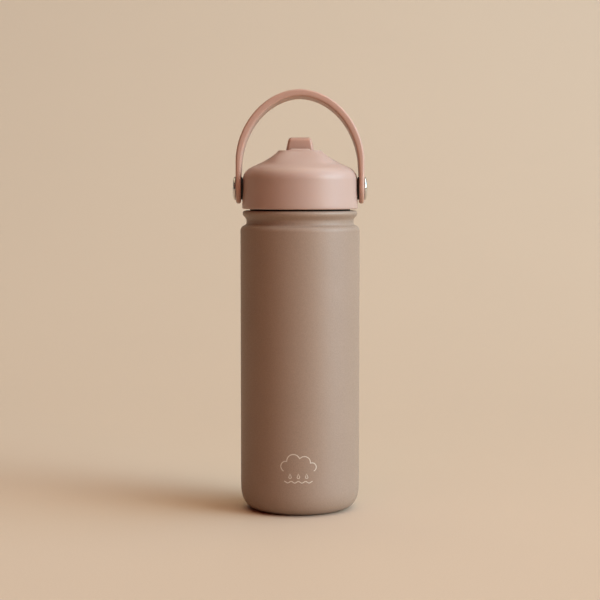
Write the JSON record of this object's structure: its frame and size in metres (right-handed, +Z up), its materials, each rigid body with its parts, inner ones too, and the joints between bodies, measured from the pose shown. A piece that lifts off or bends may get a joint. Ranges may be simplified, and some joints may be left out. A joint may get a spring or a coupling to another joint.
{
  "type": "insulated straw bottle",
  "caption": "Double-walled steel drinks bottle for a small child, with a screw lid, a fold-down straw spout and a swinging carry handle.",
  "frame": {"origin": "centre of the base, on the plane that the bottle stands on", "axes": "+Z up along the bottle's axis, -Y towards the front, X along the handle's pivots"},
  "size_m": [0.0826, 0.073, 0.2573],
  "materials": {
    "powder_coat": "matt, finely textured powder coat in warm taupe",
    "flask_steel": "satin stainless steel",
    "polished_steel": "polished stainless steel",
    "seal_glass": "fused glass bead",
    "getter_metal": "sintered grey metal",
    "dark_silicone": "matt black silicone",
    "clear_silicone": "milky silicone",
    "lid_plastic": "satin moulded plastic in dusty pink",
    "plug_plastic": "satin moulded plastic, a little paler than the lid",
    "straw_plastic": "translucent straw tube",
    "foam": "white foam",
    "insert_brass": "machined brass"
  },
  "bodies": {
    "bottle": {"outer_shell": "powder_coat", "inner_flask": "flask_steel", "base_plate": "flask_steel", "vacuum_seal": "seal_glass", "getter": "getter_metal", "getter_clip": "flask_steel", "base_cover": "powder_coat"},
    "gasket": {"neck_gasket": "dark_silicone"},
    "lid": {"lid_shell": "lid_plastic", "threaded_plug": "plug_plastic", "plug_cap": "plug_plastic", "insulation_foam": "foam", "spout_valve": "clear_silicone", "straw_socket": "clear_silicone", "straw": "straw_plastic", "vent_valve": "clear_silicone", "spout_pin_left": "polished_steel", "spout_pin_right": "polished_steel", "pivot_insert_left": "insert_brass", "pivot_insert_right": "insert_brass", "pivot_screw_left": "polished_steel", "pivot_screw_right": "polished_steel", "friction_washer_left": "dark_silicone", "friction_washer_right": "dark_silicone"},
    "spout": {"spout": "lid_plastic"},
    "handle": {"handle": "lid_plastic"}
  },
  "joints": [
    {"name": "lid_lift", "type": "slide", "parent": "bottle", "child": "gasket", "axis": [0, 0, 1], "range_m": [0, 0.18]},
    {"name": "lid_turn", "type": "hinge", "parent": "gasket", "child": "lid", "pos_m": [0, 0, 0.1845], "axis": [0, 0, 1], "range_deg": [0, 540]},
    {"name": "spout_flip", "type": "hinge", "parent": "lid", "child": "spout", "pos_m": [0, 0.002, 0.2172], "axis": [1, 0, 0], "range_deg": [0, 90]},
    {"name": "handle_swing", "type": "hinge", "parent": "lid", "child": "handle", "pos_m": [0, 0, 0.197], "axis": [1, 0, 0], "range_deg": [-106, 114]}
  ]
}
